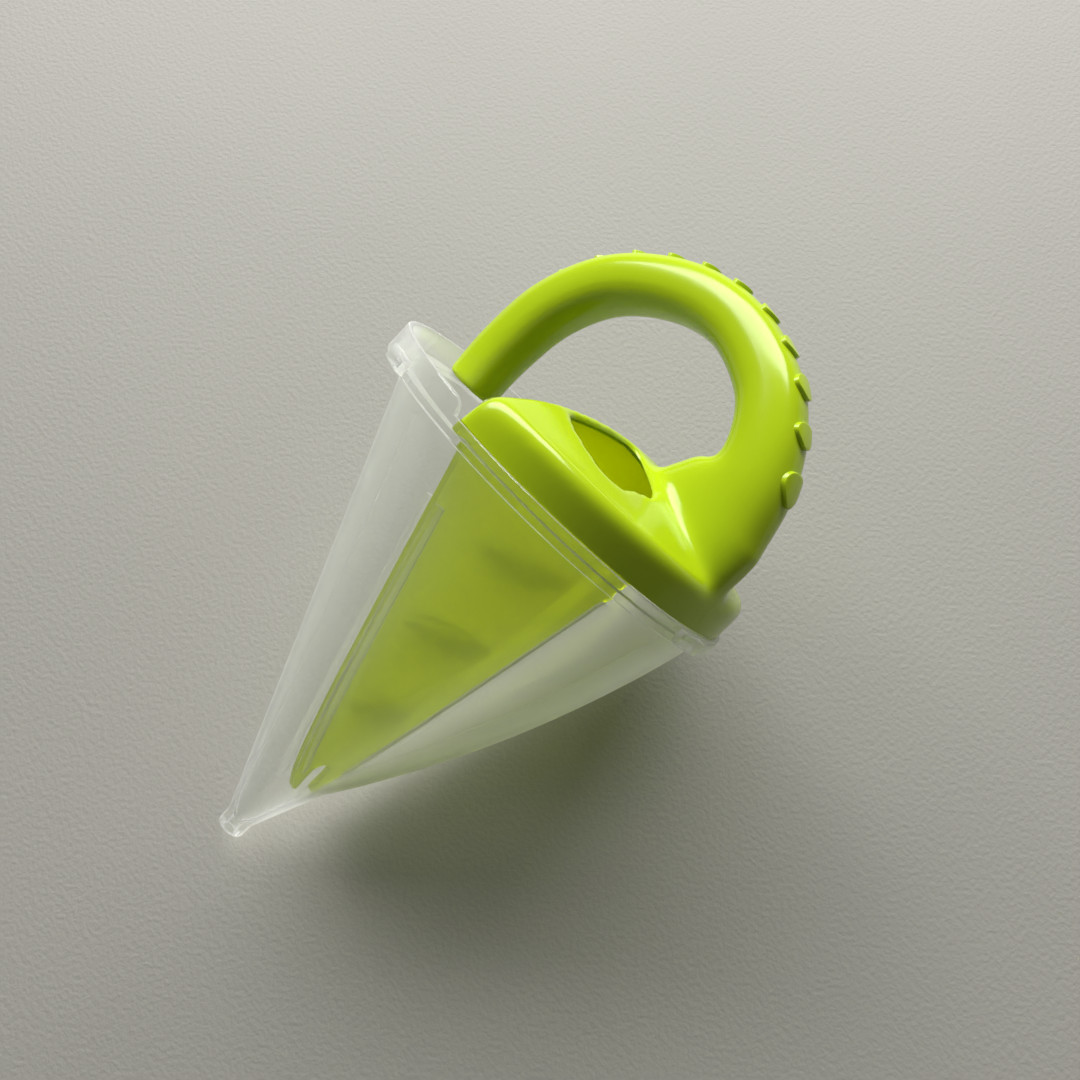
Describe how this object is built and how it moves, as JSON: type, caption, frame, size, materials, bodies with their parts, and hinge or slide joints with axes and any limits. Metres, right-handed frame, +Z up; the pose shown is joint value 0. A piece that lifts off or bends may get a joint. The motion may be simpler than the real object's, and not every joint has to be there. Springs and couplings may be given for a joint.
{
  "type": "sand funnel",
  "caption": "Clear cone-shaped sand toy funnel with a lift-out green insert: half lid with a filling hole, arched handle with raised scales, and a finned divider plate.",
  "frame": {"origin": "middle of the bounding box on the surface that the funnel lies on", "axes": "+Z up from that surface; the funnel lies on its nozzle and one collar lug, with its axis in the YZ plane and the mouth towards +Y"},
  "size_m": [0.1302, 0.2164, 0.1261],
  "materials": {
    "clear_plastic": "clear moulded plastic, glossy",
    "green_plate_plastic": "moulded plastic, glossy, slightly translucent",
    "green_plastic": "moulded plastic, glossy"
  },
  "bodies": {
    "funnel": {"funnel": "clear_plastic"},
    "insert": {"divider": "green_plate_plastic", "left_shell": "green_plastic", "right_shell": "green_plastic"}
  },
  "joints": [
    {"name": "insert_lift", "type": "slide", "parent": "funnel", "child": "insert", "axis": [0, 0.9215, 0.3884], "range_m": [0, 0.13]}
  ]
}
